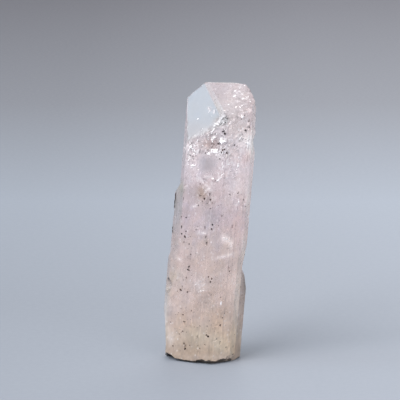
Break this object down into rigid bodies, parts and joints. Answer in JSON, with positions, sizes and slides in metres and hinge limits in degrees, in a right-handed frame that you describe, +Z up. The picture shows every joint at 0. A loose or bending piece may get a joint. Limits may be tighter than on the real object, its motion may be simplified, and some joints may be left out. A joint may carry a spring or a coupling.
{
  "type": "danburite crystal",
  "caption": "Tall pale pink danburite crystal with a wedge-shaped facetted end, striated sides with smaller crystals grown along them, and a broken foot it stands on.",
  "frame": {"origin": "on the surface it stands on, in the middle of the broken foot, on the foot's flat land", "axes": "+Z up, nearly along the crystal's length; +X to the right seen from the front, the way it leans; -Y is the front"},
  "size_m": [0.0172, 0.0099, 0.0522],
  "materials": {
    "danburite": "clear to milky pale pink crystal, mirror-smooth end faces, finely striated sides, dull broken foot"
  },
  "bodies": {
    "root": {"danburite_crystal": "danburite"}
  },
  "joints": []
}
